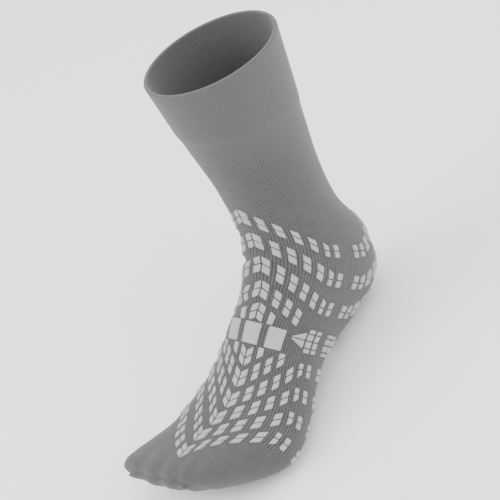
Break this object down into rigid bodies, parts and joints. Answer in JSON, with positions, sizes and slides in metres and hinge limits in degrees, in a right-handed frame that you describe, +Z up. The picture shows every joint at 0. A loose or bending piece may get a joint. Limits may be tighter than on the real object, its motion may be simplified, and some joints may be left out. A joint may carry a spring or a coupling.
{
  "type": "slipper sock",
  "caption": "Grey knitted slipper sock in the form of a worn left foot, open at the cuff, with a raised grip print of chevron rows on the instep and on the sole.",
  "frame": {"origin": "on the floor, under the fourth sole row in the middle of the heel", "axes": "+Z up along the leg, -Y towards the toes, +X towards the little toe of the left foot"},
  "size_m": [0.1149, 0.2639, 0.2561],
  "materials": {
    "knit": "matte fine-ribbed knit",
    "tread": "matte silicone print"
  },
  "bodies": {
    "root": {"sock": "knit", "sole_pad_1": "tread", "sole_pad_2": "tread", "sole_pad_3": "tread", "sole_panel_left": "tread", "sole_panel_right": "tread", "sole_row_01": "tread", "sole_row_02": "tread", "sole_row_03": "tread", "sole_row_04": "tread", "sole_row_05": "tread", "sole_row_06": "tread", "sole_row_07": "tread", "sole_row_08": "tread", "sole_row_09": "tread", "sole_row_10": "tread", "sole_row_11": "tread", "top_pad_1": "tread", "top_pad_2": "tread", "top_pad_3": "tread", "top_panel_left": "tread", "top_panel_right": "tread", "top_row_01": "tread", "top_row_02": "tread", "top_row_03": "tread", "top_row_04": "tread", "top_row_05": "tread", "top_row_06": "tread", "top_row_07": "tread", "top_row_08": "tread", "top_row_09": "tread", "top_row_10": "tread", "top_row_11": "tread"}
  },
  "joints": []
}
